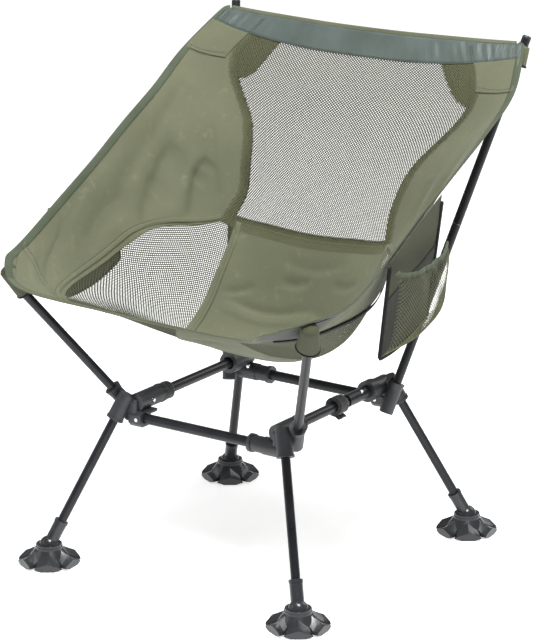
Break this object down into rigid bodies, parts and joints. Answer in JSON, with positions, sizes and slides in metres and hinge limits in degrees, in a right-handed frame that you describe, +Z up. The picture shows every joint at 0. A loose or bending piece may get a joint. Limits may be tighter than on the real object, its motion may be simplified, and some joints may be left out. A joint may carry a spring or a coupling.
{
  "type": "ultralight backpacking chair",
  "caption": "Low packable camping chair: a slung cloth and mesh bucket seat on pole uprights, a square frame with moulded corner hubs, splayed legs and swivelling ball feet.",
  "frame": {"origin": "on the floor, under the middle of the whole chair's bounding box", "axes": "+Z up, the chair faces -Y, +X is the sitter's left"},
  "size_m": [0.5554, 0.543, 0.6694],
  "materials": {
    "pole": "black anodised, satin",
    "hub_plastic": "moulded, satin black",
    "foot_plastic": "moulded, semi-gloss black",
    "bare_metal": "plain metal",
    "cord": "braided elastic cord",
    "strap": "black hook-and-loop and webbing",
    "cloth": "olive plain-weave polyester",
    "mesh": "olive open mesh",
    "edge_tape": "grey-green woven tape",
    "band": "dark green sleek lining"
  },
  "bodies": {
    "root": {"back_mesh": "mesh", "bag_backing_left": "cloth", "bag_backing_right": "cloth", "bag_mesh_left": "mesh", "bag_mesh_right": "mesh", "bag_rim_left": "edge_tape", "bag_rim_right": "edge_tape", "crossbar_back": "pole", "crossbar_front": "pole", "crossbar_pins": "bare_metal", "front_hem": "edge_tape", "hub_back_left": "hub_plastic", "hub_back_right": "hub_plastic", "hub_front_left": "hub_plastic", "hub_front_right": "hub_plastic", "hub_rivets": "bare_metal", "pole_pocket_back_left": "cloth", "pole_pocket_back_right": "cloth", "pole_pocket_front_left": "cloth", "pole_pocket_front_right": "cloth", "seat_panel": "cloth", "shock_cord_back_left": "cord", "shock_cord_back_right": "cord", "shock_cord_front_left": "cord", "shock_cord_front_right": "cord", "side_bar_ferrule": "pole", "side_bar_left": "pole", "side_bar_right": "pole", "side_mesh_left": "mesh", "side_mesh_right": "mesh", "side_tape_left": "edge_tape", "side_tape_right": "edge_tape", "side_webbing_left": "strap", "side_webbing_right": "strap", "top_band": "band", "top_hem": "edge_tape", "upright_front_left": "pole", "upright_front_right": "pole", "upright_joint_sleeves": "bare_metal", "upright_lower_back_left": "pole", "upright_lower_back_right": "pole", "upright_tip_caps": "hub_plastic", "upright_upper_back_left": "pole", "upright_upper_back_right": "pole", "wing_left": "cloth", "wing_right": "cloth"},
    "leg_front_right": {"leg_front_right": "pole"},
    "tip_front_right": {"leg_tip_front_right": "foot_plastic"},
    "foot_front_right": {"foot_pad_front_right": "foot_plastic"},
    "leg_front_left": {"leg_front_left": "pole"},
    "tip_front_left": {"leg_tip_front_left": "foot_plastic"},
    "foot_front_left": {"foot_pad_front_left": "foot_plastic"},
    "leg_back_right": {"leg_back_right": "pole"},
    "tip_back_right": {"leg_tip_back_right": "foot_plastic"},
    "foot_back_right": {"foot_pad_back_right": "foot_plastic"},
    "leg_back_left": {"leg_back_left": "pole"},
    "tip_back_left": {"leg_tip_back_left": "foot_plastic"},
    "foot_back_left": {"foot_pad_back_left": "foot_plastic"},
    "strap_right": {"strap_right": "strap"},
    "strap_left": {"strap_left": "strap"}
  },
  "joints": [
    {"name": "leg_pull_front_right", "type": "slide", "parent": "root", "child": "leg_front_right", "axis": [-0.3286, -0.3374, -0.8822], "range_m": [0, 0.03], "stiffness_N_per_m": 150, "springref_m": -0.1},
    {"name": "tip_spin_front_right", "type": "hinge", "parent": "leg_front_right", "child": "tip_front_right", "pos_m": [-0.196, -0.211, 0.024], "axis": [0.3286, 0.3374, 0.8822], "continuous": true},
    {"name": "foot_tilt_front_right", "type": "hinge", "parent": "tip_front_right", "child": "foot_front_right", "pos_m": [-0.196, -0.211, 0.024], "axis": [-0.7163, 0.6978, 0], "range_deg": [-8, 64]},
    {"name": "leg_pull_front_left", "type": "slide", "parent": "root", "child": "leg_front_left", "axis": [0.3286, -0.3374, -0.8822], "range_m": [0, 0.03], "stiffness_N_per_m": 150, "springref_m": -0.1},
    {"name": "tip_spin_front_left", "type": "hinge", "parent": "leg_front_left", "child": "tip_front_left", "pos_m": [0.196, -0.211, 0.024], "axis": [-0.3286, 0.3374, 0.8822], "continuous": true},
    {"name": "foot_tilt_front_left", "type": "hinge", "parent": "tip_front_left", "child": "foot_front_left", "pos_m": [0.196, -0.211, 0.024], "axis": [-0.7163, -0.6978, 0], "range_deg": [-8, 64]},
    {"name": "leg_pull_back_right", "type": "slide", "parent": "root", "child": "leg_back_right", "axis": [-0.34, 0.3439, -0.8753], "range_m": [0, 0.03], "stiffness_N_per_m": 150, "springref_m": -0.1},
    {"name": "tip_spin_back_right", "type": "hinge", "parent": "leg_back_right", "child": "tip_back_right", "pos_m": [-0.194, 0.191, 0.024], "axis": [0.34, -0.3439, 0.8753], "continuous": true},
    {"name": "foot_tilt_back_right", "type": "hinge", "parent": "tip_back_right", "child": "foot_back_right", "pos_m": [-0.194, 0.191, 0.024], "axis": [0.7111, 0.7031, 0], "range_deg": [-8, 64]},
    {"name": "leg_pull_back_left", "type": "slide", "parent": "root", "child": "leg_back_left", "axis": [0.34, 0.3439, -0.8753], "range_m": [0, 0.03], "stiffness_N_per_m": 150, "springref_m": -0.1},
    {"name": "tip_spin_back_left", "type": "hinge", "parent": "leg_back_left", "child": "tip_back_left", "pos_m": [0.194, 0.191, 0.024], "axis": [-0.34, -0.3439, 0.8753], "continuous": true},
    {"name": "foot_tilt_back_left", "type": "hinge", "parent": "tip_back_left", "child": "foot_back_left", "pos_m": [0.194, 0.191, 0.024], "axis": [0.7111, -0.7031, 0], "range_deg": [-8, 64]},
    {"name": "strap_slide_right", "type": "slide", "parent": "root", "child": "strap_right", "axis": [0, 1, 0], "range_m": [0, 0.11]},
    {"name": "strap_slide_left", "type": "slide", "parent": "root", "child": "strap_left", "axis": [0, 1, 0], "range_m": [-0.07, 0.008]}
  ]
}
